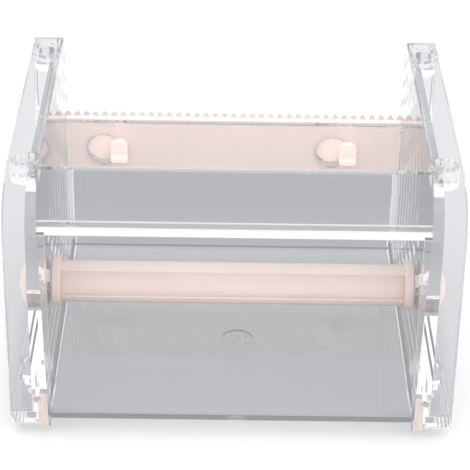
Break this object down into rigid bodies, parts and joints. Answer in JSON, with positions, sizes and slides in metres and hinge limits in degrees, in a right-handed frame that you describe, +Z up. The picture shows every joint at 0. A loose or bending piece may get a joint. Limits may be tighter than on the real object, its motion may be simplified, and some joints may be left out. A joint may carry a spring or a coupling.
{
  "type": "tape dispenser",
  "caption": "Stackable clear desk dispenser for rolls of tape: side panels, floor, keyholed front wall, toothed cutter bar and a pull-apart spindle.",
  "frame": {"origin": "middle of the footprint, on the surface that the studs stand on", "axes": "+X across the width to the right as seen from the open rear, +Y from the open rear to the cutter at the front, +Z up"},
  "size_m": [0.13, 0.107, 0.081],
  "materials": {
    "clear_plastic": "clear, polished",
    "pink_plastic": "pale pink, smooth satin"
  },
  "bodies": {
    "frame": {"left_side_panel": "clear_plastic", "right_side_panel": "clear_plastic", "floor_plate": "clear_plastic", "front_wall": "clear_plastic", "rear_brace": "clear_plastic"},
    "cutter": {"cutter_bar": "pink_plastic"},
    "spindle": {"spindle_shaft": "pink_plastic"},
    "left_knob": {"left_knob": "pink_plastic"},
    "right_knob": {"right_knob": "pink_plastic"}
  },
  "joints": [
    {"name": "cutter_slide", "type": "slide", "parent": "frame", "child": "cutter", "axis": [-1, 0, 0], "range_m": [0, 0.0052]},
    {"name": "spindle_spin", "type": "hinge", "parent": "frame", "child": "spindle", "pos_m": [0, -0.0235, 0.0349], "axis": [1, 0, 0], "continuous": true},
    {"name": "left_knob_pull", "type": "slide", "parent": "spindle", "child": "left_knob", "axis": [-1, 0, 0], "range_m": [0, 0.012]},
    {"name": "right_knob_pull", "type": "slide", "parent": "spindle", "child": "right_knob", "axis": [1, 0, 0], "range_m": [0, 0.012]}
  ]
}
